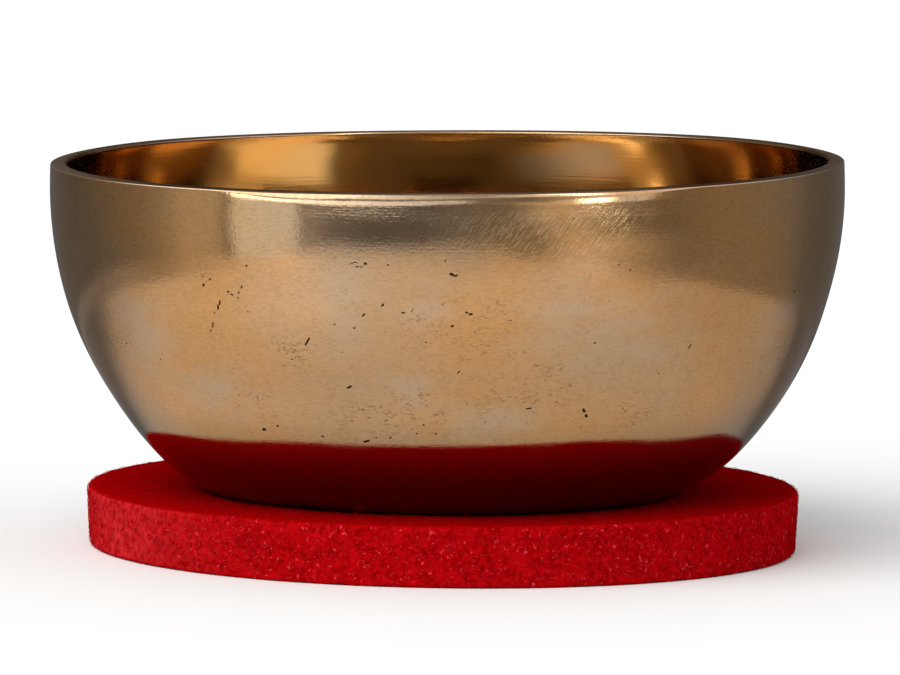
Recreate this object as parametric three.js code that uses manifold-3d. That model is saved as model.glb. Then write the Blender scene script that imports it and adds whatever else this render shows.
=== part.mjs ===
// A hand-hammered bronze singing bowl standing loose on a thick round mat of wool felt.
// Units are millimetres, +Z is up, and the origin is on the table, under the middle of the bowl's widest circle.

import * as THREE from "three";
import { mergeVertices } from "three/addons/utils/BufferGeometryUtils.js";
import Module from "manifold-3d";

const wasm = await Module();
wasm.setup();

// Driving dimensions of the bowl, with heights measured up from its flat base.
const bowlRadius = 100; // at its widest circle
const widestHeight = 76.9;
const rimHeight = 84.2;
const sideArc = 95.8; // radius of the long arc from the belly to the rim
const bellyArc = 42.2; // radius of the tighter arc under it
const bellyDip = 2.3; // how far the belly arc would reach under the base if the base weren't beaten flat
const footArc = 11.5; // radius that softens the edge of the flat base
const baseWall = 2;
const rimWall = 4.2;
const rimRoll = { across: 1, down: 3.2 }; // the rim's outer edge is a quarter ellipse
const rimChamfer = { across: 0.8, down: 1.2 }; // and so is its inner edge

// Driving dimensions of the felt mat.
const matTopRadius = 89.9;
const matBottomRadius = 89.2; // the cut edge leans in a little towards the table
const matThickness = 15.5;
const matTopRound = 1.2;
const matBottomRound = 0.8;
const matTaper = 0.0037; // rise per millimetre along +X, because the felt is a little thicker on that side
const matOffset = 6.8; // the bowl stands this far in front of the middle of the mat

// How the bowl stands on the mat.
const bowlSink = 1.15; // its weight has pressed its base this far into the felt
const bowlLean = 0.0184; // radians, with the +X side of the rim up
const seatGap = 0.3; // between the bowl and the hollow that it has pressed in the felt

const roundSteps = 72; // flats around a turned piece

const bronze = new THREE.MeshStandardMaterial({
  color: 0xb98a55,
  metalness: 1,
  roughness: 0.28,
});
const redFelt = new THREE.MeshStandardMaterial({
  color: 0xb00812,
  metalness: 0,
  roughness: 1,
});

// The points of an arc in the (radius, height) plane. Angles are from straight down, in radians, turning outwards.
function arc(centre, radius, from, to, steps) {
  const points = [];
  for (let i = 0; i <= steps; i++) {
    const angle = from + ((to - from) * i) / steps;
    points.push(
      new THREE.Vector2(
        centre.x + radius * Math.sin(angle),
        centre.y - radius * Math.cos(angle),
      ),
    );
  }
  return points;
}

// The centre of an arc that sits inside a larger one, touches it, and has its centre at a given height.
function centreInside(outer, outerRadius, radius, height) {
  const reach = Math.sqrt((outerRadius - radius) ** 2 - (outer.y - height) ** 2);
  return new THREE.Vector2(outer.x + reach, height);
}

// The angle, from straight down, at which an arc hands over to the larger arc that it touches.
function handover(inner, outer) {
  return Math.atan2(inner.x - outer.x, outer.y - inner.y);
}

// The outside of the bowl from the edge of its flat base to where the rim starts to roll in.
function outsideWall() {
  const side = new THREE.Vector2(bowlRadius - sideArc, widestHeight);
  const belly = centreInside(side, sideArc, bellyArc, bellyArc - bellyDip);
  const foot = centreInside(belly, bellyArc, footArc, footArc);
  const footEnd = handover(foot, belly);
  const bellyEnd = handover(belly, side);
  const rollStart =
    Math.PI / 2 + Math.asin((rimHeight - rimRoll.down - widestHeight) / sideArc);
  return [
    ...arc(foot, footArc, 0, footEnd, 3),
    ...arc(belly, bellyArc, footEnd, bellyEnd, 5).slice(1),
    ...arc(side, sideArc, bellyEnd, rollStart, 10).slice(1),
  ];
}

// The wall is thinnest low down and thickens towards the rim.
function wallAt(height) {
  const share = THREE.MathUtils.clamp(height / rimHeight, 0, 1);
  return baseWall + (rimWall - baseWall) * share ** 3;
}

// The inside of a wall: each outside point, moved in along the wall's own normal.
function insetWall(outside) {
  return outside.map((point, i) => {
    const before = outside[Math.max(i - 1, 0)];
    const after = outside[Math.min(i + 1, outside.length - 1)];
    const normal = i
      ? new THREE.Vector2(after.y - before.y, before.x - after.x).normalize()
      : new THREE.Vector2(0, -1);
    return point.clone().addScaledVector(normal, -wallAt(point.y));
  });
}

// A quarter ellipse that turns from a wall, or from the flat top, to the other.
function quarterRound(corner, across, down, steps) {
  const points = [];
  for (let i = 0; i <= steps; i++) {
    const angle = ((Math.PI / 2) * i) / steps;
    points.push(
      new THREE.Vector2(
        corner.x + across * Math.cos(angle),
        corner.y + down * Math.sin(angle),
      ),
    );
  }
  return points;
}

// A closed profile turned about the Z axis. The profile runs up its outside first.
function turned(profile) {
  return new THREE.LatheGeometry(profile, roundSteps).rotateX(Math.PI / 2);
}

function bowlGeometry() {
  const outside = outsideWall();
  const inside = insetWall(outside);
  const top = outside[outside.length - 1];
  const rollCorner = new THREE.Vector2(
    top.x - rimRoll.across,
    rimHeight - rimRoll.down,
  );
  const innerRimRadius = top.x - rimWall;
  const chamferCorner = new THREE.Vector2(
    innerRimRadius + rimChamfer.across,
    rimHeight - rimChamfer.down,
  );
  const roll = quarterRound(rollCorner, rimRoll.across, rimRoll.down, 5);
  const chamfer = quarterRound(
    chamferCorner,
    -rimChamfer.across,
    rimChamfer.down,
    3,
  ).reverse();
  return turned([
    new THREE.Vector2(0, 0),
    ...outside,
    ...roll.slice(1),
    ...chamfer,
    ...inside.reverse(),
    new THREE.Vector2(0, baseWall),
  ]);
}

// The lower outside of the bowl as a solid, for pressing its shape into the felt.
function pressGeometry() {
  const pressHeight = 2 * footArc;
  const low = outsideWall().filter((point) => point.y < pressHeight);
  return turned([
    new THREE.Vector2(0, 0),
    ...low,
    new THREE.Vector2(0, low[low.length - 1].y),
  ]);
}

function matGeometry() {
  const topCorner = new THREE.Vector2(
    matTopRadius - matTopRound,
    matThickness - matTopRound,
  );
  const bottomCorner = new THREE.Vector2(
    matBottomRadius - matBottomRound,
    matBottomRound,
  );
  const quarter = Math.PI / 2;
  const geometry = turned([
    new THREE.Vector2(0, 0),
    ...arc(bottomCorner, matBottomRound, 0, quarter, 2),
    ...arc(topCorner, matTopRound, quarter, 2 * quarter, 4),
    new THREE.Vector2(0, matThickness),
  ]);
  const position = geometry.getAttribute("position");
  for (let i = 0; i < position.count; i++) {
    const share = position.getZ(i) / matThickness;
    position.setZ(i, position.getZ(i) + matTaper * share * position.getX(i));
  }
  return geometry.translate(0, matOffset, 0);
}

// Where the bowl stands: it leans about the middle of its widest circle, which stays over the origin.
const bowlPlace = new THREE.Matrix4().compose(
  new THREE.Vector3(
    widestHeight * Math.sin(bowlLean),
    0,
    matThickness - bowlSink,
  ),
  new THREE.Quaternion().setFromEuler(new THREE.Euler(0, -bowlLean, 0)),
  new THREE.Vector3(1, 1, 1),
);

// A closed geometry as a solid that can be cut.
function solid(geometry) {
  const bare = geometry.clone();
  bare.deleteAttribute("normal");
  bare.deleteAttribute("uv");
  const merged = mergeVertices(bare, 1e-3);
  return new wasm.Manifold(
    new wasm.Mesh({
      numProp: 3,
      vertProperties: merged.getAttribute("position").array,
      triVerts: new Uint32Array(merged.index.array),
    }),
  );
}

// A solid as a geometry again.
function geometryOf(body) {
  const mesh = body.getMesh();
  return new THREE.BufferGeometry()
    .setAttribute("position", new THREE.BufferAttribute(mesh.vertProperties, 3))
    .setIndex(new THREE.BufferAttribute(mesh.triVerts, 1));
}

// The mat with the hollow that the bowl's base has pressed into it.
function pressedMatGeometry() {
  const press = pressGeometry()
    .applyMatrix4(bowlPlace)
    .translate(0, 0, -seatGap);
  return geometryOf(solid(matGeometry()).subtract(solid(press)));
}

const mat = new THREE.Mesh(pressedMatGeometry(), redFelt);
mat.name = "felt_mat";

const bowl = new THREE.Mesh(bowlGeometry(), bronze);
bowl.name = "bowl";
bowl.applyMatrix4(bowlPlace);

const singingBowl = new THREE.Group();
singingBowl.add(mat, bowl);

export default singingBowl;
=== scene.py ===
"""A hand-hammered bronze singing bowl on a red felt mat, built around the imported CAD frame."""

import math

import bmesh
import bpy
import numpy as np
from mathutils import Matrix, Vector, noise


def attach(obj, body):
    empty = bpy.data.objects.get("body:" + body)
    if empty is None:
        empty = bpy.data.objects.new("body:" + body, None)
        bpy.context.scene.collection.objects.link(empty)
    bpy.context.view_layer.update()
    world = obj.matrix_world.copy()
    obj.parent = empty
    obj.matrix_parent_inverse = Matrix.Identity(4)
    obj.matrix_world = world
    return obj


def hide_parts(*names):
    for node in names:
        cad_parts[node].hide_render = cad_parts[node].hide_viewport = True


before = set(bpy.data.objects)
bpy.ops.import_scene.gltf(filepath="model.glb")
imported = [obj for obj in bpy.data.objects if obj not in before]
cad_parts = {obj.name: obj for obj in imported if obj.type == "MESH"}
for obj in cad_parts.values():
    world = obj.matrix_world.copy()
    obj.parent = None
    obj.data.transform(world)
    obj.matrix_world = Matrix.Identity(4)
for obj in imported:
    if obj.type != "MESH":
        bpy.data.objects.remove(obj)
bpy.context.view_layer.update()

# ---------------------------------------------------------------- sizes, in millimetres
MM = 0.001  # meshes are worked out in millimetres and made in metres

# The bowl's outside, with heights measured up from its flat base, as in the CAD.
BOWL_RADIUS = 100
WIDEST_HEIGHT = 76.9
RIM_HEIGHT = 84.2
SIDE_ARC = 95.8
BELLY_ARC = 42.2
BELLY_DIP = 2.3
FOOT_ARC = 11.5
BASE_WALL = 2
RIM_WALL = 4.2
RIM_ROLL = (1, 3.2)  # how far the rim's rounded outer edge goes across and down
RIM_CRISP = (0.3, 0.4)  # the same where the hammer has left the edge crisp
RIM_CRISP_LEAN = 0.1  # how far in the wall leans up to the crisp edge
RIM_CHAMFER = (0.7, 0.8)  # its inner edge
RIM_FALL = 0.2  # how much lower the rim's flat top is at its outer edge
RIM_SOFT = (-30, 33)  # the azimuths in degrees between which the outer edge isn't crisp
# Where the rim isn't level: degrees from the front, to both sides, width in degrees, and height.
RIM_WAVES = [(131, 17, 0.25), (180, 20, -0.2)]
BOWL_SINK = 1.15
BOWL_LEAN = 0.0184

# The felt mat, as in the CAD.
MAT_TOP_RADIUS = 89.9
MAT_BOTTOM_RADIUS = 89.2
MAT_THICKNESS = 15.5
MAT_TOP_ROUND = 1.2
MAT_BOTTOM_ROUND = 0.8
MAT_TAPER = 0.0037
MAT_OFFSET = 6.8
SEAT_GAP = 0.3

BOWL_COLUMNS = 440
MAT_COLUMNS = 1000
PIT_DEPTH = 0.15

# Hammer blows at random: how many, and the ranges of their widths and depths.
OUTER_LARGE_BLOWS = (150, (7, 13), (0.05, 0.20))
OUTER_SMALL_BLOWS = (420, (2.5, 5.5), (0.004, 0.022))
INNER_LARGE_BLOWS = (110, (8, 14), (0.01, 0.04))

# Fibres of the felt: how many there are on the cut side and on the top, and the loose hairs.
SIDE_FIBRES = 7400
TOP_FIBRES = 3000
LOOSE_HAIRS = 50

# Pits in the bronze: azimuth in degrees (0 is the front), height above the base in millimetres,
# length and width in millimetres, and tilt from level in degrees, rising to the right.
PITS = [
    (-13.5, 67.1, 0.7, 0.3, 0),
    (-13.0, 67.3, 0.9, 0.3, 5),
    (-12.7, 66.3, 0.9, 0.3, 0),
    (-11.5, 67.1, 0.9, 0.5, -20),
    (-12.1, 66.4, 0.5, 0.25, 0),
    (0.7, 64.5, 1.3, 0.55, -30),
    (1.3, 64.2, 0.9, 0.5, 35),
    (-0.2, 67.9, 0.4, 0.4, 0),
    (-8.3, 66.9, 0.4, 0.3, 0),
    (-37.2, 62.5, 0.5, 0.35, -30),
    (-36.0, 61.8, 0.6, 0.5, 60),
    (-37.3, 60.2, 0.9, 0.45, 45),
    (-34.8, 56.0, 1.4, 0.45, 70),
    (-35.2, 54.8, 1.4, 0.5, 80),
    (-36.0, 53.3, 0.6, 0.35, -20),
    (-33.1, 58.9, 0.9, 0.35, -10),
    (-32.5, 58.2, 0.8, 0.4, -30),
    (-30.7, 60.3, 0.8, 0.4, 65),
    (-31.3, 58.8, 0.7, 0.35, 55),
    (-31.5, 57.5, 0.5, 0.4, 40),
    (-36.7, 50.2, 1.5, 0.4, 68),
    (-37.3, 48.7, 1.0, 0.3, 60),
    (-9.2, 56.8, 1.0, 0.45, 45),
    (-12.1, 54.2, 1.1, 0.35, 52),
    (-6.3, 54.9, 1.1, 0.35, 0),
    (-5.0, 55.5, 0.9, 0.2, 62),
    (2.8, 54.9, 0.8, 0.4, -20),
    (3.4, 54.5, 1.1, 0.4, 0),
    (0.7, 51.5, 0.9, 0.5, 25),
    (-21.0, 47.2, 2.6, 0.45, 55),
    (-30.1, 54.1, 0.4, 0.4, 0),
    (-29.6, 65.6, 0.6, 0.5, 90),
    (-15.8, 44.6, 0.5, 0.4, 0),
    (-13.6, 50.9, 0.8, 0.25, 0),
    (-16.5, 51.7, 0.6, 0.3, 30),
    (-24.6, 43.8, 0.5, 0.25, 30),
    (-23.9, 42.5, 0.7, 0.3, -20),
    (-15.3, 35.9, 1.5, 0.5, 25),
    (1.7, 39.8, 1.0, 0.35, 50),
    (-3.1, 47.4, 0.6, 0.25, 0),
    (9.2, 52.8, 0.6, 0.25, -20),
    (26.9, 64.5, 0.5, 0.5, 0),
    (25.0, 66.0, 0.4, 0.3, 0),
    (42.6, 64.7, 0.4, 0.35, 0),
    (52.0, 64.5, 0.4, 0.35, 0),
    (62.0, 55.1, 0.7, 0.5, 60),
    (22.3, 46.5, 0.8, 0.3, 40),
    (39.3, 44.1, 1.6, 0.35, 60),
    (34.5, 37.6, 0.6, 0.35, 30),
    (12.9, 30.6, 1.4, 0.35, 12),
    (22.3, 29.6, 1.3, 0.7, -55),
    (22.9, 28.2, 1.2, 0.7, -50),
    (-32.6, 23.7, 1.2, 0.8, 0),
    (-29.6, 24.9, 0.7, 0.5, 0),
    (-21.6, 22.7, 0.6, 0.5, 0),
    (-13.9, 21.8, 1.7, 0.5, 20),
    (-12.1, 22.9, 0.8, 0.3, 60),
    (-9.6, 23.0, 0.8, 0.3, 20),
    (-3.9, 26.6, 0.6, 0.5, 0),
    (-1.9, 24.3, 0.6, 0.5, 0),
    (-5.1, 24.3, 0.5, 0.3, 0),
    (-58.0, 43.0, 0.6, 0.4, 50),
    (-50.0, 40.0, 0.5, 0.4, 0),
    (-94.0, 52.0, 1.2, 0.4, 40),
    (-128.0, 61.0, 0.9, 0.5, 10),
    (-161.0, 38.0, 1.4, 0.4, 60),
    (172.0, 66.0, 1.0, 0.5, -20),
    (141.0, 45.0, 1.2, 0.4, 30),
    (109.0, 34.0, 0.8, 0.6, 0),
    (96.0, 59.0, 1.3, 0.4, 70),
]

# Pale patches where the bronze has been rubbed: azimuth, height, half width and half height.
PALE = [
    (-14.7, 57.5, 6.0, 10.0),
    (-5.5, 35.5, 6.5, 4.5),
    (18.7, 52.0, 9.0, 8.0),
    (9.0, 27.5, 8.0, 3.5),
    (-52.4, 48.5, 7.0, 9.0),
    (-2.4, 56.5, 7.0, 4.0),
    (33.0, 47.0, 8.0, 6.0),
    (-38.0, 32.0, 10.0, 5.0),
    (62.0, 46.0, 7.0, 9.0),
    (105.0, 55.0, 9.0, 8.0),
    (160.0, 48.0, 7.0, 9.0),
    (-120.0, 50.0, 10.0, 7.0),
]

# Where hammering has left the outside dented (or swollen, with a negative depth):
# azimuth, height, half width, half height and depth.
HAMMERED = [
    (2.0, 26.0, 42.0, 6.0, -0.64),
    (-57.0, 17.5, 20.0, 6.0, -0.50),
    (-15.0, 18.0, 11.0, 6.0, -0.13),
    (19.0, 25.0, 17.0, 6.0, -0.45),
    (52.0, 25.0, 12.0, 6.0, -0.25),
    (2.0, 13.0, 42.0, 5.0, 0.25),
]

# Where the top band is scratched, and where the bronze has pores.
SCRATCHED = [
    (13.0, 75.5, 16.0, 5.0),
    (19.0, 73.0, 9.0, 6.0),
    (-70.0, 70.0, 9.0, 9.0),
    (128.0, 70.0, 14.0, 7.0),
]
PORED = [
    (2.5, 52.0, 13.0, 6.5),
    (-3.0, 30.0, 13.0, 6.5),
    (-24.0, 44.0, 6.0, 4.0),
    (-33.0, 31.0, 9.0, 3.5),
    (-14.0, 26.0, 7.0, 3.5),
    (16.0, 36.0, 9.0, 6.0),
    (30.0, 27.0, 8.0, 4.0),
    (-62.0, 45.0, 9.0, 8.0),
    (66.0, 38.0, 10.0, 7.0),
    (118.0, 46.0, 12.0, 9.0),
    (-128.0, 33.0, 12.0, 8.0),
    (175.0, 50.0, 12.0, 9.0),
]


def smoothstep(low, high, value):
    share = np.clip((value - low) / (high - low), 0, 1)
    return share * share * (3 - 2 * share)


def blend(share, first, second):
    return first * (1 - share) + second * share


def window(low, high, soft, value):
    """1 between low and high, with edges this soft."""
    rise = smoothstep(low - soft, low + soft, value)
    return rise * (1 - smoothstep(high - soft, high + soft, value))


# ---------------------------------------------------------------- camera, floor and light
CAMERA_DISTANCE = 2757.2
CAMERA_HEIGHT = 326.2
CAMERA_ASIDE = 1.2
CAMERA_PITCH = math.radians(5.644)  # below the horizon
CAMERA_ROLL = 0.0148
CAMERA_LENS = 440

FLOOR_HALF = 30000
STUDIO_RADIUS = 345  # of the round studio wall that the bronze reflects
STUDIO_FORWARD = 55  # how far in front of the bowl the wall is centred
STUDIO_SIGHT = 85  # the height that the wall's brightness is laid out from
STUDIO_COLUMNS = 360
STUDIO_ROWS = 90
DAYLIGHT_STRENGTH = 0.70
KEY_STRENGTH = 2.15
KEY_SIZE = math.radians(55)
KEY_TOWARDS = Vector((-0.5, -0.75, 0.85))

# Brightness of the round wall, by azimuth in degrees: level with the bowl,
LOW_WALL = [
    (-180, 0.12),
    (-120, 0.12),
    (-108, 0.15),
    (-98, 0.20),
    (-90, 0.23),
    (-80, 0.33),
    (-70, 0.53),
    (-60, 0.52),
    (-57, 0.30),
    (-37, 0.38),
    (-29, 0.21),
    (-19, 0.15),
    (-5, 0.155),
    (4, 0.20),
    (13, 0.24),
    (23, 0.42),
    (33, 0.50),
    (40, 0.42),
    (49, 0.27),
    (61, 0.23),
    (75, 0.27),
    (90, 0.27),
    (103, 0.22),
    (113, 0.15),
    (124, 0.12),
    (180, 0.12),
]
# higher up,
HIGH_WALL = [
    (-180, 0.15),
    (-150, 0.15),
    (-118, 0.21),
    (-104, 0.34),
    (-40, 0.46),
    (-20, 0.40),
    (-8, 0.34),
    (20, 0.24),
    (30, 0.55),
    (42, 0.95),
    (78, 1.12),
    (95, 0.82),
    (112, 0.45),
    (130, 0.24),
    (150, 0.11),
    (180, 0.14),
]
# and in the lights high over the front.
UPPER_LIGHT = [
    (-40, 2.4),
    (-20, 1.7),
    (-5, 0.9),
    (10, 0.6),
    (25, 1.2),
    (32, 1.8),
    (34, 4.0),
    (41, 4.0),
    (44, 1.6),
    (60, 0.4),
]
# The elevation at which the low part of the wall gives way to the high part, by azimuth.
WALL_MEETING = [(20, 5), (45, 13), (55, 17), (95, 17)]
# Brighter and darker patches of the wall: azimuth, elevation, half width, half height and change.
WALL_PATCHES = [
    (3, 1, 7, 2.5, 0.10),
    (23, -1, 4, 2.2, 0.20),
    (36, 2.5, 10, 3, 0.42),
    (45, -4, 10, 2.0, -0.10),
    (43, -9.5, 9, 2.6, 0.34),
    (31, -7.5, 4, 2.5, 0.12),
    (22, -9, 4, 3.5, -0.11),
    (-95, 8, 8, 3, 0.18),
]
# Lit rectangles of the wall: left and right edge and their softness, then the same upwards.
LEDGE = (-40, 6, 4, -1, 11, 1.5)
LAMP = (33, 42, 1.5, 1, 13, 1.5)
RIGHT_SKY = (56, 130, 10, 20, 43, 5)
# Brightness of the table by azimuth, in three rings. The first fades into the second between
# these distances from the bowl, and the third starts at a distance that depends on the azimuth.
TABLE_REACH = (130, 215)
TABLE_STEP = [(50, 315), (61, 303), (75, 281), (89, 271), (102, 262)]
TABLE_POOL = (0.30, 240, 70)  # a pool of light on it: its strength, how far behind the bowl, its size
TABLE = [
    [
        (-180, 0.13),
        (-130, 0.12),
        (-118, 0.18),
        (-98, 0.55),
        (-80, 0.70),
        (-40, 0.72),
        (0, 0.69),
        (60, 0.61),
        (76, 0.56),
        (97, 0.43),
        (107, 0.34),
        (118, 0.13),
        (180, 0.13),
    ],
    [
        (-180, 0.13),
        (-122, 0.14),
        (-113, 0.24),
        (-105, 0.44),
        (-94, 0.59),
        (-79, 0.76),
        (-60, 0.83),
        (-38, 0.99),
        (-15, 0.86),
        (0, 0.84),
        (41, 0.78),
        (60, 0.60),
        (76, 0.53),
        (95, 0.50),
        (108, 0.36),
        (119, 0.13),
        (180, 0.13),
    ],
    [
        (-180, 0.12),
        (-110, 0.24),
        (-94, 0.35),
        (-81, 0.38),
        (-70, 0.54),
        (-60, 0.66),
        (-50, 0.87),
        (-40, 1.08),
        (-30, 0.85),
        (0, 0.72),
        (24, 0.68),
        (33, 0.86),
        (40, 0.84),
        (51, 0.49),
        (63, 0.31),
        (77, 0.30),
        (103, 0.24),
        (116, 0.14),
        (180, 0.12),
    ],
]
LAMPLIGHT = np.array((1.0, 0.99, 0.94))  # the wall is a little warm at the sides
OVERCAST = np.array((0.98, 1.06, 1.20))  # and cool in front
DAYLIGHT = np.array((0.85, 1.03, 1.3))  # the windows are cooler than the rest
BLUE_SKY = np.array((0.80, 1.12, 1.9))  # and coolest where they show the sky, to the left
PALE_SKY = np.array((0.84, 1.22, 2.8))  # and to the right
EMBER = np.array((1.2, 0.85, 0.5))  # the dark part behind the bowl is warm


def make_camera():
    data = bpy.data.cameras.new("camera")
    data.lens = CAMERA_LENS
    data.sensor_width = 36
    data.clip_end = 100
    camera = bpy.data.objects.new("camera", data)
    bpy.context.scene.collection.objects.link(camera)
    camera.matrix_world = (
        Matrix.Translation(Vector((CAMERA_ASIDE, -CAMERA_DISTANCE, CAMERA_HEIGHT)) * MM)
        @ Matrix.Rotation(math.pi / 2 - CAMERA_PITCH, 4, "X")
        @ Matrix.Rotation(CAMERA_ROLL, 4, "Z")
    )
    bpy.context.scene.camera = camera


def link(name, mesh):
    obj = bpy.data.objects.new(name, mesh)
    bpy.context.scene.collection.objects.link(obj)
    return obj


def make_floor():
    half = FLOOR_HALF * MM
    mesh = bpy.data.meshes.new("floor")
    corners = [(-half, -half, 0), (half, -half, 0), (half, half, 0), (-half, half, 0)]
    mesh.from_pydata(corners, [], [(0, 1, 2, 3)])
    material = bpy.data.materials.new("floor")
    material.use_nodes = True
    shader = material.node_tree.nodes["Principled BSDF"]
    shader.inputs["Base Color"].default_value = (0.88, 0.88, 0.88, 1)
    shader.inputs["Roughness"].default_value = 0.9
    shader.inputs["Specular IOR Level"].default_value = 0
    mesh.materials.append(material)
    link("floor", mesh)


def wall_level(azimuth, elevation):
    """How bright the wall is between its windows."""
    low = np.interp(azimuth, *zip(*LOW_WALL))
    high = np.interp(azimuth, *zip(*HIGH_WALL))
    meeting = np.interp(azimuth, *zip(*WALL_MEETING))
    level = blend(smoothstep(meeting - 4, meeting + 4, elevation), low, high)
    foot_of_wall = window(-36, 15, 4, azimuth) * (1 - smoothstep(-11, -9, elevation))
    level = blend(foot_of_wall, level, 0.55)
    for centre, middle, half_width, half_height, change in WALL_PATCHES:
        across, up = (azimuth - centre) / half_width, (elevation - middle) / half_height
        level += change * np.exp(-(across**2 + up**2) / 2)
    level = blend(smoothstep(46, 54, elevation), level, 0.22)
    return blend(smoothstep(78, 86, elevation), level, 1.3)  # straight overhead


def rectangle(edges, azimuth, elevation):
    """1 inside one of the wall's lit rectangles."""
    left, right, soft, bottom, top, fade = edges
    return window(left, right, soft, azimuth) * window(bottom, top, fade, elevation)


def left_window(azimuth, elevation):
    """1 inside the left window, whose edges lean."""
    near_edge = -28.5 - 0.8 * (18 - np.minimum(elevation, 24))
    far_edge = -103 + 0.5 * (elevation - 10)
    box = smoothstep(far_edge - 9, far_edge + 9, azimuth)
    box *= 1 - smoothstep(near_edge - 2, near_edge + 2, azimuth)
    return box * window(13.5, 45, 2, elevation)


def lights_in_front(azimuth, elevation):
    """The brightest of the other lights, from the slit under the left window to the right window."""
    # the slit, which reaches down to the table
    slit = window(-55.5, -38.5, 1, azimuth) * (1 - smoothstep(8, 10, elevation))
    slit_level = blend(smoothstep(-1, 2, elevation), 0.98, 3.8)
    # a ledge of light from the left window towards the front, and another one higher up
    ledge = rectangle(LEDGE, azimuth, elevation)
    ledge_level = np.interp(azimuth, (-40, -20, 0), (2.6, 1.7, 1.0))
    upper_start = np.interp(azimuth, (0, 20), (18.5, 25))
    upper = window(-60, 60, 6, azimuth) * window(upper_start, 62, 2, elevation)
    upper_level = np.interp(azimuth, *zip(*UPPER_LIGHT))
    # the right window, and the haze of light round it
    lamp = rectangle(LAMP, azimuth, elevation)
    haze_start = np.interp(elevation, (8, 14), (25, 33))
    haze = window(haze_start, 54, 4, azimuth) * window(-1, 26, 3, elevation)
    return np.maximum.reduce(
        [slit_level * slit, ledge_level * ledge, upper_level * upper, 5 * lamp, 0.95 * haze]
    )


def wall_radiance(azimuth, elevation):
    """The wall's light in a direction. Azimuth 0 is the front, and positive is to the right."""
    level = wall_level(azimuth, elevation)
    behind = smoothstep(150, 163, np.abs(azimuth)) * (1 - smoothstep(18, 26, elevation))
    level = blend(behind, level, 0.04)
    box_level = 2.35 * left_window(azimuth, elevation)
    front_level = lights_in_front(azimuth, elevation)
    cool = np.maximum(box_level, front_level)
    sky = smoothstep(-52, -72, azimuth) * smoothstep(0, 0.3, box_level - front_level)
    sky = np.maximum(sky, rectangle(RIGHT_SKY, azimuth, elevation))
    plain = blend(window(-62, 12, 12, azimuth)[:, None], LAMPLIGHT, OVERCAST)
    tint = blend(smoothstep(0, 0.5, cool - level)[:, None], plain, DAYLIGHT)
    tint = blend(sky[:, None], tint, np.where(azimuth[:, None] < 0, BLUE_SKY, PALE_SKY))
    tint = blend(behind[:, None], tint, EMBER)
    return np.maximum(level, cool)[:, None] * tint


def table_radiance(x, y):
    """How bright the table is at a place, fading to the sides and to the back."""
    azimuth = np.degrees(np.arctan2(x, -y))
    reach = np.hypot(x, y)
    step = np.interp(np.abs(azimuth), *zip(*TABLE_STEP))
    soft = np.interp(np.abs(azimuth), (45, 60), (50, 9))
    rings = [np.interp(azimuth, *zip(*ring)) for ring in TABLE]
    share = np.interp(reach, TABLE_REACH, (0, 1)) + smoothstep(step - soft, step + soft, reach)
    level = sum(np.clip(1 - abs(share - i), 0, 1) * ring for i, ring in enumerate(rings))
    strength, behind, size = TABLE_POOL
    level += strength * np.exp(-(x**2 + (y - behind) ** 2) / (2 * size**2))
    return level[:, None] * np.ones(3)


def glowing(name, points, across, radiance):
    """A surface that only reflections see, painted with its own light. It lights nothing else."""
    rows = len(points) // across
    faces = [
        (r * across + c, r * across + c + 1, (r + 1) * across + c + 1, (r + 1) * across + c)
        for r in range(rows - 1)
        for c in range(across - 1)
    ]
    mesh = bpy.data.meshes.new(name)
    mesh.from_pydata((points * MM).tolist(), [], faces)
    attribute = mesh.color_attributes.new("radiance", "FLOAT_COLOR", "POINT")
    colours = np.concatenate([radiance, np.ones((len(radiance), 1))], 1)
    attribute.data.foreach_set("color", colours.astype(np.float32).ravel())
    material = bpy.data.materials.new(name)
    material.use_nodes = True
    tree = material.node_tree
    tree.nodes.clear()
    source = tree.nodes.new("ShaderNodeAttribute")
    source.attribute_name = "radiance"
    glow = tree.nodes.new("ShaderNodeEmission")
    out = tree.nodes.new("ShaderNodeOutputMaterial")
    tree.links.new(source.outputs["Color"], glow.inputs["Color"])
    tree.links.new(glow.outputs["Emission"], out.inputs["Surface"])
    material.cycles.emission_sampling = "NONE"
    mesh.materials.append(material)
    surface = link(name, mesh)
    surface.visible_camera = False
    surface.visible_diffuse = False
    surface.visible_transmission = False
    surface.visible_volume_scatter = False
    surface.visible_shadow = False


def make_studio():
    """The studio wall and the table as the bronze reflects them."""
    azimuth = np.radians(np.linspace(-180, 180, STUDIO_COLUMNS + 1))
    elevation = np.radians(np.linspace(0, 90, STUDIO_ROWS + 1))
    az, el = (grid.ravel() for grid in np.meshgrid(azimuth, elevation))
    flat = STUDIO_RADIUS * np.cos(el)
    x = flat * np.sin(az)
    y = -flat * np.cos(az) - STUDIO_FORWARD
    z = STUDIO_RADIUS * np.sin(el) + 0.5
    seen_azimuth = np.degrees(np.arctan2(x, -y))
    seen_elevation = np.degrees(np.arctan2(z - STUDIO_SIGHT, np.hypot(x, y)))
    points = np.stack([x, y, z], -1)
    radiance = wall_radiance(seen_azimuth, seen_elevation)
    glowing("studio_wall", points, STUDIO_COLUMNS + 1, radiance)
    az, reach = (grid.ravel() for grid in np.meshgrid(azimuth, np.arange(2, 420, 6)))
    points = np.stack([reach * np.sin(az), -reach * np.cos(az), np.full(len(az), 0.3)], -1)
    radiance = table_radiance(points[:, 0], points[:, 1])
    glowing("studio_table", points, STUDIO_COLUMNS + 1, radiance)


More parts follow.
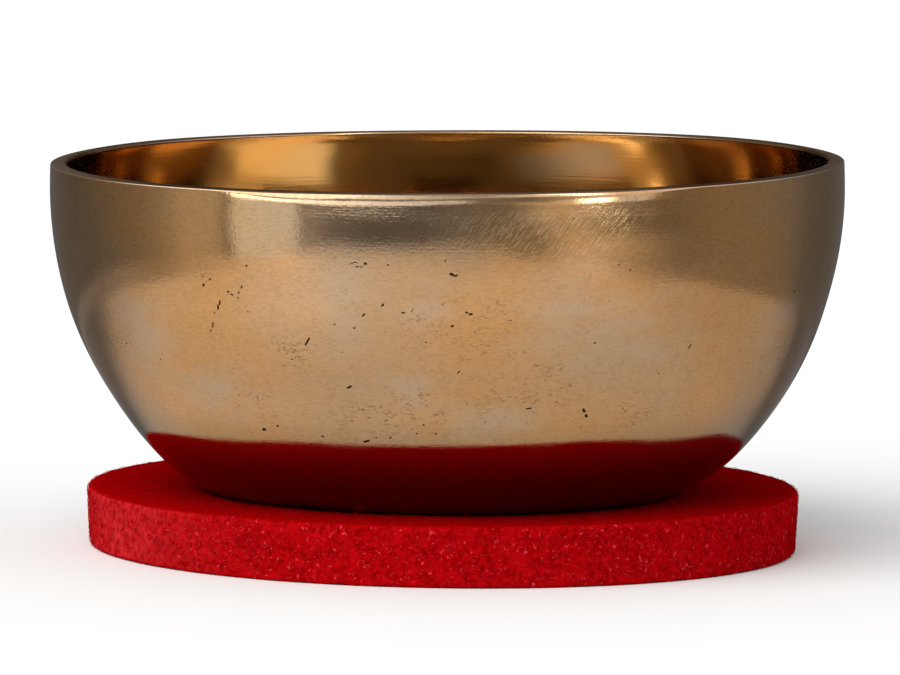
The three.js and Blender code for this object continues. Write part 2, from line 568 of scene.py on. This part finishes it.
def make_light():
    world = bpy.data.worlds.new("studio")
    world.use_nodes = True
    background = world.node_tree.nodes["Background"]
    background.inputs["Color"].default_value = (1, 1, 1, 1)
    background.inputs["Strength"].default_value = DAYLIGHT_STRENGTH
    bpy.context.scene.world = world
    data = bpy.data.lights.new("key", "SUN")
    data.energy = KEY_STRENGTH
    data.angle = KEY_SIZE
    key = bpy.data.objects.new("key", data)
    bpy.context.scene.collection.objects.link(key)
    key.matrix_world = KEY_TOWARDS.to_track_quat("Z", "Y").to_matrix().to_4x4()
    key.visible_glossy = False
    bpy.context.scene.view_settings.view_transform = "Standard"


# ---------------------------------------------------------------- material nodes
class Surface:
    """The node tree of one material, built up around its Principled shader."""

    def __init__(self, name):
        self.material = bpy.data.materials.new(name)
        self.material.use_nodes = True
        self.tree = self.material.node_tree
        self.shader = self.tree.nodes["Principled BSDF"]

    def add(self, kind, values=(), **settings):
        """A node with these settings, and its input sockets joined up or set by name or number."""
        node = self.tree.nodes.new("ShaderNode" + kind)
        for name, value in settings.items():
            setattr(node, name, value)
        for key, value in dict(values).items():
            self.put(node.inputs[key], value)
        return node

    def put(self, socket, value):
        if isinstance(value, bpy.types.NodeSocket):
            self.tree.links.new(value, socket)
        else:
            socket.default_value = value

    def place(self):
        return self.add("TexCoord").outputs["Object"]

    def laid_flat(self, scale):
        return self.mapped(self.add("UVMap", uv_map="OFBake").outputs["UV"], scale)

    def mapped(self, vector, scale, turn=0):
        values = {"Vector": vector, "Scale": scale, "Rotation": (0, 0, math.radians(turn))}
        return self.add("Mapping", values).outputs["Vector"]

    def noise(self, vector, scale, detail=2, roughness=0.5):
        values = {"Vector": vector, "Scale": scale, "Detail": detail, "Roughness": roughness}
        return self.add("TexNoise", values).outputs["Fac"]

    def attribute(self, name):
        return self.add("Attribute", attribute_name=name).outputs["Fac"]

    def ramp(self, value, low, high, start=0.0, end=1.0):
        """From start to end as the value goes from low to high, smoothly."""
        values = {0: value, 1: low, 2: high, 3: start, 4: end}
        node = self.add("MapRange", values, interpolation_type="SMOOTHSTEP")
        return node.outputs[0]

    def maths(self, operation, first, second):
        return self.add("Math", {0: first, 1: second}, operation=operation).outputs[0]

    def mix(self, share, first, second):
        values = {"Factor": share, 6: self.solid(first), 7: self.solid(second)}
        return self.add("Mix", values, data_type="RGBA").outputs[2]

    @staticmethod
    def solid(colour):
        return colour if isinstance(colour, bpy.types.NodeSocket) else (*colour, 1)

    def bump(self, height, distance, under=None):
        values = {"Height": height, "Distance": distance}
        if under:
            values["Normal"] = under
        return self.add("Bump", values).outputs["Normal"]


# ---------------------------------------------------------------- outlines
def arc(centre, radius, start, end, spacing):
    """Points along an arc. Angles are from straight down, in radians, turning outwards."""
    steps = max(2, math.ceil(radius * abs(end - start) / spacing))
    angle = np.linspace(start, end, steps + 1)
    return np.stack(
        [centre[0] + radius * np.sin(angle), centre[1] - radius * np.cos(angle)], -1
    )


def quarter_ellipse(centre, across, down, steps):
    angle = np.linspace(0, math.pi / 2, steps + 1)
    return np.stack(
        [centre[0] + across * np.cos(angle), centre[1] + down * np.sin(angle)], -1
    )


def centre_inside(outer, outer_radius, radius, height):
    """The centre of an arc that sits inside a larger one and touches it."""
    reach = math.sqrt((outer_radius - radius) ** 2 - (outer[1] - height) ** 2)
    return (outer[0] + reach, height)


def handover(inner, outer):
    """The angle at which an arc hands over to the larger arc that it touches."""
    return math.atan2(inner[0] - outer[0], outer[1] - inner[1])


def bowl_outside():
    """The outside from the edge of the flat base up to the height of the rim."""
    side = (BOWL_RADIUS - SIDE_ARC, WIDEST_HEIGHT)
    belly = centre_inside(side, SIDE_ARC, BELLY_ARC, BELLY_ARC - BELLY_DIP)
    foot = centre_inside(belly, BELLY_ARC, FOOT_ARC, FOOT_ARC)
    foot_end = handover(foot, belly)
    belly_end = handover(belly, side)
    side_end = math.pi / 2 + math.asin((RIM_HEIGHT - WIDEST_HEIGHT) / SIDE_ARC)
    fine = 0.4
    return np.concatenate(
        [
            arc(foot, FOOT_ARC, 0, foot_end, fine),
            arc(belly, BELLY_ARC, foot_end, belly_end, fine)[1:],
            arc(side, SIDE_ARC, belly_end, side_end, fine)[1:],
        ]
    )


def inset(outside):
    """The inside of the wall, which is thinnest low down and thickens towards the rim."""
    wall = BASE_WALL + (RIM_WALL - BASE_WALL) * (outside[:, 1] / RIM_HEIGHT) ** 3
    along = np.gradient(outside, axis=0)
    along /= np.linalg.norm(along, axis=1)[:, None]
    inward = np.stack([-along[:, 1], along[:, 0]], -1)
    return outside + inward * wall[:, None]


class Outline:
    """An outline in the (radius, height) plane, read by the distance along it."""

    def __init__(self, points):
        self.points = np.asarray(points, float)
        steps = np.linalg.norm(np.diff(self.points, axis=0), axis=1)
        self.distance = np.concatenate([[0], np.cumsum(steps)])
        self.length = self.distance[-1]

    def at(self, distance):
        radius = np.interp(distance, self.distance, self.points[:, 0])
        height = np.interp(distance, self.distance, self.points[:, 1])
        return radius, height

    def normal(self, distance, reach=0.3):
        r0, z0 = self.at(np.maximum(distance - reach, 0))
        r1, z1 = self.at(np.minimum(distance + reach, self.length))
        size = np.maximum(np.hypot(r1 - r0, z1 - z0), 1e-9)
        return (z1 - z0) / size, (r0 - r1) / size


def stations(zones):
    """Distances along an outline, from zones of (end, spacing)."""
    found = [0.0]
    for end, spacing in zones:
        start = found[-1]
        steps = max(1, round((end - start) / spacing))
        found += list(np.linspace(start, end, steps + 1)[1:])
    return np.array(found)


def bowl_outline():
    """The whole outline with the rim's soft edge, the same points with its crisp edge,
    and how far along the outline the flat base, the outer wall and the rim end."""
    outside = bowl_outside()
    inside = inset(outside)
    edge_height = RIM_HEIGHT - RIM_FALL
    wall = outside[outside[:, 1] < edge_height - RIM_ROLL[1]]
    radius, start = wall[-1]
    soft = quarter_ellipse((radius - RIM_ROLL[0], edge_height - RIM_ROLL[1]), *RIM_ROLL, 16)
    corner = (radius - RIM_CRISP_LEAN, edge_height - RIM_CRISP[1])
    climb = np.linspace((radius, start + 0.2), corner, 7)[:-1]
    crisp = quarter_ellipse((corner[0] - RIM_CRISP[0], corner[1]), *RIM_CRISP, 10)
    inner_rim = inside[-1][0]
    chamfer_centre = (inner_rim + RIM_CHAMFER[0], RIM_HEIGHT - RIM_CHAMFER[1])
    chamfer = quarter_ellipse(chamfer_centre, -RIM_CHAMFER[0], RIM_CHAMFER[1], 8)[::-1]
    rest = [chamfer, inside[inside[:, 1] < chamfer_centre[1]][::-1], [(0, BASE_WALL)]]
    soft_edged = Outline(np.concatenate([[(0, 0)], wall, soft, *rest]))
    crisp_edged = np.concatenate([[(0, 0)], wall, climb, crisp, *rest])
    ends = np.cumsum([1, len(wall), len(soft) + len(chamfer)])
    return soft_edged, crisp_edged, [soft_edged.distance[end] for end in ends]


# ---------------------------------------------------------------- turned meshes
def turned(name, outline, rows, columns, place, refine=None):
    """A closed mesh turned about Z. place(azimuth, distance) gives its points and attributes."""
    # a flat grid over (azimuth, distance) first, which keeps its seam until it has its texture map
    azimuth = np.linspace(-math.pi, math.pi, columns + 1)
    grid = bmesh.new()
    verts = [[grid.verts.new((a, d, 0)) for a in azimuth] for d in rows]
    for low, high in zip(verts[:-1], verts[1:]):
        for c in range(columns):
            grid.faces.new((low[c], low[c + 1], high[c + 1], high[c]))
    if refine:
        refine(grid)
    uv = grid.loops.layers.uv.new("OFBake")
    for face in grid.faces:
        face.smooth = True
        for loop in face.loops:
            a, d, _ = loop.vert.co
            loop[uv].uv = (0.5 + a / (2 * math.pi), d / outline.length)
    # then every point is moved to its place
    flat = np.array([v.co[:2] for v in grid.verts])
    points, attributes = place(flat[:, 0], flat[:, 1])
    for vert, point in zip(grid.verts, points * MM):
        vert.co = point
    layers = {layer_name: grid.verts.layers.float.new(layer_name) for layer_name in attributes}
    for layer_name, layer in layers.items():
        for vert, value in zip(grid.verts, attributes[layer_name]):
            vert[layer] = value
    bmesh.ops.remove_doubles(grid, verts=grid.verts, dist=1e-6)
    bmesh.ops.recalc_face_normals(grid, faces=grid.faces)
    mesh = bpy.data.meshes.new(name)
    grid.to_mesh(mesh)
    grid.free()
    return mesh


def around(outline, azimuth, distance):
    """Points and outward normals of the outline turned about Z. Azimuth 0 is the front."""
    radius, height = outline.at(distance)
    out, up = outline.normal(distance)
    points = np.stack([radius * np.sin(azimuth), -radius * np.cos(azimuth), height], -1)
    normals = np.stack([out * np.sin(azimuth), -out * np.cos(azimuth), up], -1)
    return points, normals


# ---------------------------------------------------------------- the bowl
def dents(points, centres, widths, depths):
    """How far hammer blows at these centres have moved a surface in."""
    moved = np.zeros(len(points))
    for centre, width, depth in zip(centres, widths, depths):
        away = ((points - centre) ** 2).sum(1)
        near = away < (3 * width) ** 2
        moved[near] += depth * np.exp(-away[near] / (2 * width**2))
    return moved


class Skin:
    """Places on the bowl's outside, from an azimuth in degrees and a height above the base."""

    def __init__(self, outline, foot, wall_top):
        self.outline = outline
        lengths = np.linspace(foot, wall_top, 400)
        self.heights = outline.at(lengths)[1]
        self.lengths = lengths

    def offsets(self, spot, azimuth, distance):
        """How far places are from a spot, across and up, in millimetres."""
        centre = np.interp(spot[1], self.heights, self.lengths)
        radius = self.outline.at(centre)[0]
        turn = np.remainder(azimuth - math.radians(spot[0]) + math.pi, 2 * math.pi) - math.pi
        return turn * radius, distance - centre

    def pits(self, azimuth, distance):
        """1 along the middle of a pit, 0.5 at its edge and 0 further off."""
        found = np.zeros(len(azimuth))
        for pit in PITS:
            across, up = self.offsets(pit, azimuth, distance)
            _, _, length, width, tilt = pit
            tilt = math.radians(tilt)
            along = across * math.cos(tilt) + up * math.sin(tilt)
            aside = up * math.cos(tilt) - across * math.sin(tilt)
            beyond = np.maximum(np.abs(along) - max(0, length - width) / 2, 0)
            found = np.maximum(found, 1 - np.hypot(beyond, aside) / width)
        return found

    def spots(self, spots, azimuth, distance):
        """How strongly each of some soft spots covers these places."""
        for spot in spots:
            across, up = self.offsets(spot, azimuth, distance)
            yield np.exp(-((across / spot[2]) ** 2 + (up / spot[3]) ** 2) / 2)


def make_bowl():
    outline, crisp_edged, (foot, wall_top, rim_end) = bowl_outline()
    skin = Skin(outline, foot, wall_top)
    rng = np.random.default_rng(7)
    rows = stations(
        [
            (foot, 6),
            (wall_top, 1.4),
            (rim_end, 0.4),
            (rim_end + 45, 2),
            (outline.length, 4),
        ]
    )

    def refine(grid):
        """Smaller faces around the pits."""
        middles = np.array([face.calc_center_median()[:2] for face in grid.faces])
        near = np.zeros(len(middles), bool)
        for pit in PITS:
            across, up = skin.offsets(pit, middles[:, 0], middles[:, 1])
            near |= np.hypot(across, up) < pit[2] / 2 + pit[3] + 0.9
        edges = {edge for face, found in zip(grid.faces, near) if found for edge in face.edges}
        bmesh.ops.subdivide_edges(grid, edges=list(edges), cuts=5, use_grid_fill=True)

    def blows(start, end, count, width, depth):
        azimuth = rng.uniform(-math.pi, math.pi, count * 3)
        distance = rng.uniform(start, end, count * 3)
        radius, _ = outline.at(distance)
        kept = rng.uniform(0, BOWL_RADIUS, count * 3) < radius  # evenly over the area
        centres, _ = around(outline, azimuth[kept][:count], distance[kept][:count])
        sizes = rng.uniform(*width, len(centres))
        return centres, sizes, rng.uniform(*depth, len(centres))

    outer_large = blows(foot, wall_top, *OUTER_LARGE_BLOWS)
    outer_small = blows(foot, wall_top, *OUTER_SMALL_BLOWS)
    inner_large = blows(rim_end, outline.length, *INNER_LARGE_BLOWS)

    def edged(points, azimuth, distance):
        """The same points with the rim wavy, and its outer edge crisp except along the front."""
        radius, height = outline.at(distance)
        crisp = 1 - window(*RIM_SOFT, 7, np.degrees(azimuth))
        out = crisp * (np.interp(distance, outline.distance, crisp_edged[:, 0]) - radius)
        up = crisp * (np.interp(distance, outline.distance, crisp_edged[:, 1]) - height)
        turn = np.abs(np.degrees(azimuth))
        waves = sum(rise * np.exp(-(((turn - at) / wide) ** 2)) for at, wide, rise in RIM_WAVES)
        up += waves * smoothstep(RIM_HEIGHT - 12, RIM_HEIGHT, height)
        return points + np.stack([out * np.sin(azimuth), -out * np.cos(azimuth), up], -1)

    def place(azimuth, distance):
        points, normals = around(outline, azimuth, distance)
        outer = 1 - smoothstep(wall_top - 2, wall_top + 3, distance)
        inner = smoothstep(rim_end - 2, rim_end + 4, distance)
        depth = outer * (dents(points, *outer_large) + dents(points, *outer_small))
        depth += inner * dents(points, *inner_large)
        outside = distance < wall_top
        for blow, cover in zip(HAMMERED, skin.spots(HAMMERED, azimuth, distance)):
            depth += outer * blow[4] * cover
        pit = outside * skin.pits(azimuth, distance)
        pale = outside * sum(skin.spots(PALE, azimuth, distance))
        scratched = outside * sum(skin.spots(SCRATCHED, azimuth, distance))
        pored = outside * sum(skin.spots(PORED, azimuth, distance))
        depth += PIT_DEPTH * smoothstep(0.5, 0.9, pit)
        points = edged(points, azimuth, distance) - normals * depth[:, None]
        lean = np.array(Matrix.Rotation(-BOWL_LEAN, 3, "Y"))
        points = points @ lean.T
        points += (WIDEST_HEIGHT * math.sin(BOWL_LEAN), 0, MAT_THICKNESS - BOWL_SINK)
        # painted shade: near 1 low on the outside, fading out between 8 and 30 mm up, to darken the
        # bronze where it meets the mat
        under = outside * (1 - smoothstep(8, 30, outline.at(distance)[1]))
        marks = {"pit": pit, "pale": pale, "pored": pored, "scratched": scratched}
        return points, marks | {"inside": inner, "under": under}

    mesh = turned("bowl_bronze", outline, rows, BOWL_COLUMNS, place, refine)
    mesh.materials.append(bronze(outline.length))
    bowl = link("bowl_bronze", mesh)
    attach(bowl, "bowl")
    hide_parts("bowl")


# Colours of the bronze and of what is on it, with a painted shade for its foot and painted glints for
# its scratches.
PALE_BRONZE = (0.615, 0.375, 0.20)
RED_BRONZE = (0.70, 0.36, 0.135)
STREAK = (0.70, 0.40, 0.185)
GRAIN = (0.42, 0.25, 0.12)
RUBBED = (0.61, 0.42, 0.27)
INSIDE = (0.625, 0.385, 0.165)
# painted shade, darkening the bronze towards its foot
PAINTED_SHADE_LOW = (0.17, 0.11, 0.055)
# painted highlight for the glints of the scratches
PAINTED_SCRATCH_GLINT = (0.93, 0.70, 0.42)
PORE = (0.30, 0.15, 0.06)
PIT = (0.012, 0.007, 0.004)
SCRATCH_TILT = -48  # degrees


def bronze(length):
    surface = Surface("bronze")
    surface.shader.inputs["Specular IOR Level"].default_value = 0.05
    place = surface.place()
    pale = surface.attribute("pale")
    inside = surface.attribute("inside")
    under = surface.attribute("under")
    # hammered patches, some redder and some paler, with a fine level grain
    patches = surface.noise(place, 24, 3)
    streaks = surface.noise(surface.mapped(place, (60, 60, 160)), 1, 3)
    grain = surface.noise(surface.mapped(place, (600, 600, 1500)), 1, 2)
    tone = surface.mix(surface.ramp(patches, 0.38, 0.62), PALE_BRONZE, RED_BRONZE)
    tone = surface.mix(surface.ramp(streaks, 0.35, 0.7, 0, 0.4), tone, STREAK)
    tone = surface.mix(surface.ramp(grain, 0.35, 0.7, 0, 0.30), tone, GRAIN)
    rubbed = surface.maths("MULTIPLY", pale, surface.ramp(streaks, 0.35, 0.6, 0.15, 0.75))
    tone = surface.mix(rubbed, tone, RUBBED)
    tone = surface.mix(inside, tone, INSIDE)
    # painted shade: darker towards the foot, for the shade where the bowl sits in the mat
    tone = surface.mix(under, tone, PAINTED_SHADE_LOW)
    # slanting scratches in the bump, with painted glints: their colour is lighter for the light that
    # they catch
    flat = surface.laid_flat((round(2 * math.pi * BOWL_RADIUS), length, 1))
    slant = surface.mapped(surface.mapped(flat, (1, 1, 1), SCRATCH_TILT), (0.22, 7, 1))
    scratch = surface.ramp(surface.noise(slant, 1, 1), 0.57, 0.65)
    scratch = surface.maths("MULTIPLY", scratch, surface.attribute("scratched"))
    tone = surface.mix(surface.maths("MULTIPLY", scratch, 0.55), tone, PAINTED_SCRATCH_GLINT)
    # tiny brown pores that gather in places, most of all in the pored spots
    dots = surface.noise(surface.mapped(place, (1000, 1000, 2300)), 1, 2, 0.6)
    gather = surface.ramp(surface.noise(place, 260, 2), 0.38, 0.62)
    pored = surface.maths("MAXIMUM", surface.attribute("pored"), surface.ramp(inside, 0, 1, 0.3, 0))
    gather = surface.maths("MULTIPLY", gather, pored)
    pores = surface.maths("MULTIPLY", surface.ramp(dots, 0.51, 0.67), gather)
    tone = surface.mix(pores, tone, PORE)
    # black pits with ragged edges
    ragged = surface.ramp(surface.noise(place, 2500, 2), 0.3, 0.7, -0.16, 0.16)
    edge = surface.maths("ADD", surface.attribute("pit"), ragged)
    pits = surface.ramp(edge, 0.38, 0.54)
    tone = surface.mix(pits, tone, PIT)
    surface.put(surface.shader.inputs["Base Color"], tone)
    surface.put(surface.shader.inputs["Metallic"], surface.ramp(pits, 0, 1, 1, 0))
    # worn smooth, but duller underneath, in the pale patches and most of all in the pits
    dull = surface.ramp(surface.noise(place, 60, 4, 0.6), 0.3, 0.75, 0.05, 0.12)
    dull = surface.maths("MAXIMUM", dull, surface.ramp(pale, 0, 1, 0.05, 0.20))
    dull = surface.maths("MAXIMUM", dull, surface.ramp(under, 0, 0.8, 0, 0.14))
    dull = surface.maths("MAXIMUM", dull, surface.ramp(inside, 0, 1, 0, 0.055))
    dull = surface.maths("MAXIMUM", dull, surface.ramp(pits, 0, 1, 0, 0.9))
    surface.put(surface.shader.inputs["Roughness"], dull)
    # fine level marks from turning, an uneven skin, and the scratches
    turning = surface.noise(surface.mapped(place, (60, 60, 2200)), 1, 3, 0.6)
    skin = surface.noise(place, 1300, 3, 0.6)
    skin = surface.maths("MULTIPLY", skin, surface.ramp(inside, 0, 1, 1, 0.1))
    normal = surface.bump(turning, 0.00001)
    normal = surface.bump(skin, 0.000019, normal)
    normal = surface.bump(scratch, 0.000005, normal)
    surface.put(surface.shader.inputs["Normal"], normal)
    return surface.material


# ---------------------------------------------------------------- the felt mat
# Loose hairs that stand up at the front of the bowl: azimuth, distance from the middle,
# width, height, lean and the way they face.
HAIRS = [
    (-14.5, 82.0, 2.2, 3.4, 0.3, 10),
    (-2.5, 83.0, 6.5, 1.6, -2.2, 0),
    (-1.0, 84.0, 5.0, 0.9, -1.5, 15),
    (1.5, 85.5, 3.0, 1.4, 0.8, 40),
    (3.5, 86.0, 4.0, 1.1, 0.5, -20),
    (-19.0, 84.5, 2.6, 1.0, 0.4, 25),
    (12.0, 83.5, 4.0, 0.8, 0.6, 5),
    (27.0, 82.5, 3.5, 0.9, -0.6, 20),
    (-41.0, 83.0, 3.0, 0.8, 0.2, -30),
]


def mat_outline():
    top = (MAT_TOP_RADIUS - MAT_TOP_ROUND, MAT_THICKNESS - MAT_TOP_ROUND)
    bottom = (MAT_BOTTOM_RADIUS - MAT_BOTTOM_ROUND, MAT_BOTTOM_ROUND)
    quarter = math.pi / 2
    points = np.concatenate(
        [
            [(0, 0)],
            arc(bottom, MAT_BOTTOM_ROUND, 0, quarter, 0.2),
            arc(top, MAT_TOP_ROUND, quarter, 2 * quarter, 0.2),
            [(0, MAT_THICKNESS)],
        ]
    )
    return Outline(points)


def lumps(points, spacing):
    """Noise with a given spacing in millimetres, between about -1 and 1."""
    return np.array([noise.noise(Vector(point / spacing)) for point in points])


def set_on_table(points):
    """Moves points on the mat's round outline to where the mat lies, with its taper."""
    points = points.copy()
    points[:, 1] += MAT_OFFSET
    points[:, 2] += MAT_TAPER * points[:, 0] * points[:, 2] / MAT_THICKNESS
    return points


def make_mat():
    outline = mat_outline()
    outside = np.concatenate([[(0, 0)], bowl_outside()])
    low = outside[outside[:, 1] < 30]
    edge = MAT_BOTTOM_RADIUS
    rows = stations(
        [
            (edge - 12, 8),
            (edge - 1, 2.2),
            (edge + MAT_THICKNESS + 2, 0.5),
            (edge + MAT_THICKNESS + 32, 0.95),
            (outline.length, 4),
        ]
    )

    def place(azimuth, distance):
        points, normals = around(outline, azimuth, distance)
        side = window(edge, edge + MAT_THICKNESS - 0.5, 0.6, distance)
        bare = smoothstep(edge - 3, edge, distance)  # not the underside
        # the wool's fuzz, which is strongest on the cut side, and a slower unevenness
        fuzz = 0.10 * lumps(points, 0.9) + 0.13 * lumps(points, 2.0)
        fuzz = fuzz * (0.35 + 0.65 * side) + 0.10 * lumps(points, 9)
        points = points + normals * (bare * (fuzz - 0.2))[:, None]
        points = set_on_table(points)
        # the hollow that the bowl has pressed into the top
        radius = np.hypot(points[:, 0] - WIDEST_HEIGHT * math.sin(BOWL_LEAN), points[:, 1])
        press = np.interp(radius, low[:, 0], low[:, 1]) + MAT_THICKNESS - BOWL_SINK
        press += BOWL_LEAN * points[:, 0] - SEAT_GAP
        points[:, 2] = np.where(points[:, 2] > 5, np.minimum(points[:, 2], press), points[:, 2])
        points[:, 2] = np.maximum(points[:, 2], 0)
        # painted sheen: the cut side is paler and blotchy to the left, where the light grazes its
        # fuzz
        left = np.exp(-(((np.degrees(azimuth) + 66) / 20) ** 2))
        painted_sheen = side * left * smoothstep(-0.8, 0.6, lumps(points, 1.3)) * 0.7
        return points, {"side": side, "painted_sheen": painted_sheen}

    mesh = turned("felt_mat_wool", outline, rows, MAT_COLUMNS, place)
    mesh.materials.append(felt())
    mat = link("felt_mat_wool", mesh)
    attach(mat, "mat")
    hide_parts("felt_mat")


# Colours of the felt: from dark to bright on the top and on the cut side, and on the fibres.
TOP_DARK = (0.29, 0.0005, 0.0009)
TOP_BRIGHT = (0.42, 0.0009, 0.0015)
CUT_DARK = (0.21, 0.0005, 0.001)
CUT_BRIGHT = (0.45, 0.002, 0.004)
CUT_SOFT = (0.48, 0.002, 0.005)
FLECK = (0.75, 0.05, 0.07)
# painted sheen on the cut side, to the left
PAINTED_SHEEN = (0.62, 0.03, 0.035)
FIBRE_DARK = (0.26, 0.0005, 0.001)
FIBRE_BRIGHT = (0.66, 0.008, 0.014)
FIBRE_PINK = (0.82, 0.09, 0.10)


def felt():
    surface = Surface("red_felt")
    place = surface.place()
    side = surface.attribute("side")
    soft = surface.noise(place, 180, 3)
    fine = surface.noise(place, 800, 4, 0.7)
    top = surface.mix(surface.ramp(fine, 0.3, 0.7), TOP_DARK, TOP_BRIGHT)
    cut = surface.mix(surface.ramp(fine, 0.33, 0.66), CUT_DARK, CUT_BRIGHT)
    cut = surface.mix(surface.ramp(soft, 0.4, 0.7, 0, 0.5), cut, CUT_SOFT)
    flecks = surface.ramp(surface.noise(place, 950, 1), 0.66, 0.76, 0, 0.7)
    cut = surface.mix(flecks, cut, FLECK)
    # painted sheen, paler to the left where light grazes the cut side
    cut = surface.mix(surface.attribute("painted_sheen"), cut, PAINTED_SHEEN)
    wool = surface.mix(side, top, cut)
    surface.put(surface.shader.inputs["Base Color"], wool)
    surface.shader.inputs["Roughness"].default_value = 1
    surface.shader.inputs["Specular IOR Level"].default_value = 0
    surface.put(surface.shader.inputs["Normal"], surface.bump(fine, 0.0003))
    return surface.material


def fibre_wool():
    surface = Surface("red_felt_fibres")
    shade = surface.attribute("shade")
    tone = surface.mix(shade, FIBRE_DARK, FIBRE_BRIGHT)
    tone = surface.mix(surface.ramp(shade, 0.86, 1.05), tone, FIBRE_PINK)
    surface.put(surface.shader.inputs["Base Color"], tone)
    surface.shader.inputs["Roughness"].default_value = 1
    surface.shader.inputs["Specular IOR Level"].default_value = 0
    return surface.material


def make_fibres(name, paths, radii, shades):
    """Three-sided threads along paths given as (thread, step, xyz) in millimetres."""
    count, steps, _ = paths.shape
    along = np.gradient(paths, axis=1)
    along /= np.linalg.norm(along, axis=2, keepdims=True)
    aside = np.cross(along, (0.3, 0.2, 0.93))
    aside /= np.linalg.norm(aside, axis=2, keepdims=True)
    over = np.cross(along, aside)
    taper = np.sin(np.linspace(0.35, math.pi - 0.35, steps))  # thinner at both ends
    size = radii[:, None] * taper
    turn = np.arange(3) * 2 * math.pi / 3
    ring = aside[:, :, None] * np.cos(turn)[:, None] + over[:, :, None] * np.sin(turn)[:, None]
    points = paths[:, :, None] + ring * size[:, :, None, None]
    step = np.arange(steps - 1)[:, None] * 3
    spot = np.arange(3)
    after = (spot + 1) % 3
    quads = np.stack([step + spot, step + after, step + after + 3, step + spot + 3], -1)
    quads = quads.reshape(-1, 4)
    caps = np.array([(2, 1, 0), (3 * steps - 3, 3 * steps - 2, 3 * steps - 1)])
    first = (np.arange(count) * steps * 3)[:, None, None]
    faces = (first + quads).reshape(-1, 4).tolist() + (first + caps).reshape(-1, 3).tolist()
    mesh = bpy.data.meshes.new(name)
    mesh.from_pydata((points.reshape(-1, 3) * MM).tolist(), [], faces)
    mesh.polygons.foreach_set("use_smooth", np.ones(len(faces), bool))
    shade = mesh.attributes.new("shade", "FLOAT", "POINT")
    shade.data.foreach_set("value", np.repeat(shades, steps * 3).astype(np.float32))
    # each thread has its own cell of the texture
    cells = math.ceil(math.sqrt(count))
    thread, step_of, spot_of = np.unravel_index(np.arange(count * steps * 3), (count, steps, 3))
    across = (thread % cells + 0.15 + 0.7 * step_of / (steps - 1)) / cells
    up = (thread // cells + 0.15 + 0.7 * spot_of / 2) / cells
    corners = np.zeros(len(mesh.loops), np.int32)
    mesh.loops.foreach_get("vertex_index", corners)
    uv = mesh.uv_layers.new(name="OFBake")
    uv.data.foreach_set("uv", np.stack([across, up], -1)[corners].astype(np.float32).ravel())
    mesh.materials.append(fibre_wool())
    threads = link(name, mesh)
    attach(threads, "mat")


def wander(rng, count, steps, length, curl, spread):
    """Flat curls: how far each step of each thread has gone across and up."""
    heading = rng.normal(0, spread, count)[:, None]
    bend = rng.normal(0, curl, (count, 1)) * np.linspace(-0.5, 0.5, steps)
    bend = bend + np.cumsum(rng.normal(0, curl * 0.15, (count, steps)), 1)
    stride = length[:, None] / (steps - 1)
    across = np.cumsum(stride * np.cos(heading + bend), 1)
    up = np.cumsum(stride * np.sin(heading + bend), 1)
    return across, up


def make_wool():
    outline = mat_outline()
    rng = np.random.default_rng(11)
    edge = MAT_BOTTOM_RADIUS

    def lay(count, start, end, length, curl, spread, lift, steps=6):
        """Threads lying on the mat between two distances along its outline."""
        across, up = wander(rng, count, steps, length, curl, spread)
        azimuth = rng.uniform(-math.pi, math.pi, count)[:, None] + across / MAT_TOP_RADIUS
        distance = np.clip(rng.uniform(start, end, count)[:, None] + up, start - 0.3, end + 0.3)
        points, normals = around(outline, azimuth.ravel(), distance.ravel())
        arch = np.sin(np.linspace(0, math.pi, steps)) * lift[:, None] - 0.08
        points = points + normals * arch.reshape(-1, 1)
        return set_on_table(points).reshape(count, steps, 3)

    # short fibres on the cut side
    count = SIDE_FIBRES
    low, high = edge + 0.4, edge + MAT_THICKNESS - 0.5
    length, lift = rng.uniform(0.7, 2.6, count), rng.uniform(0.08, 0.22, count)
    paths = lay(count, low, high, length, 1.5, 0.75, lift, 5)
    shades = rng.uniform(0, 1, count) ** 1.2
    make_fibres("felt_fibres_side", paths, rng.uniform(0.03, 0.07, count), shades)
    # darker ones on the outer part of the top
    count = TOP_FIBRES
    low, high = high + 0.8, high + 25
    length, lift = rng.uniform(1.0, 3.0, count), rng.uniform(0.10, 0.20, count)
    paths = lay(count, low, high, length, 1.6, 3, lift)
    shades = 0.45 * rng.uniform(0, 1, count)
    make_fibres("felt_fibres_top", paths, rng.uniform(0.025, 0.05, count), shades)
    # long loose hairs, some at random and then the listed ones
    count = LOOSE_HAIRS
    length, lift = rng.uniform(4, 9, count), rng.uniform(0.3, 1.6, count)
    steps = 18
    paths = lay(count, low + 4, low + 16, length, 2.6, 3, lift, steps)
    turn = np.linspace(0, math.pi, steps)
    for azimuth, reach, width, height, lean, facing in HAIRS:
        along = -np.cos(turn) * width / 2 + np.sin(turn) * lean
        azimuth, facing = math.radians(azimuth), math.radians(facing)
        hair = np.stack(
            [
                reach * math.sin(azimuth) + along * math.cos(facing),
                -reach * math.cos(azimuth) + along * math.sin(facing),
                MAT_THICKNESS + np.sin(turn) * height,
            ],
            -1,
        )
        paths = np.concatenate([paths, set_on_table(hair)[None]])
    count = len(paths)
    shades = rng.uniform(0.4, 0.8, count)
    make_fibres("felt_hairs", paths, rng.uniform(0.025, 0.045, count), shades)


make_camera()
make_floor()
make_studio()
make_light()
make_bowl()
make_mat()
make_wool()
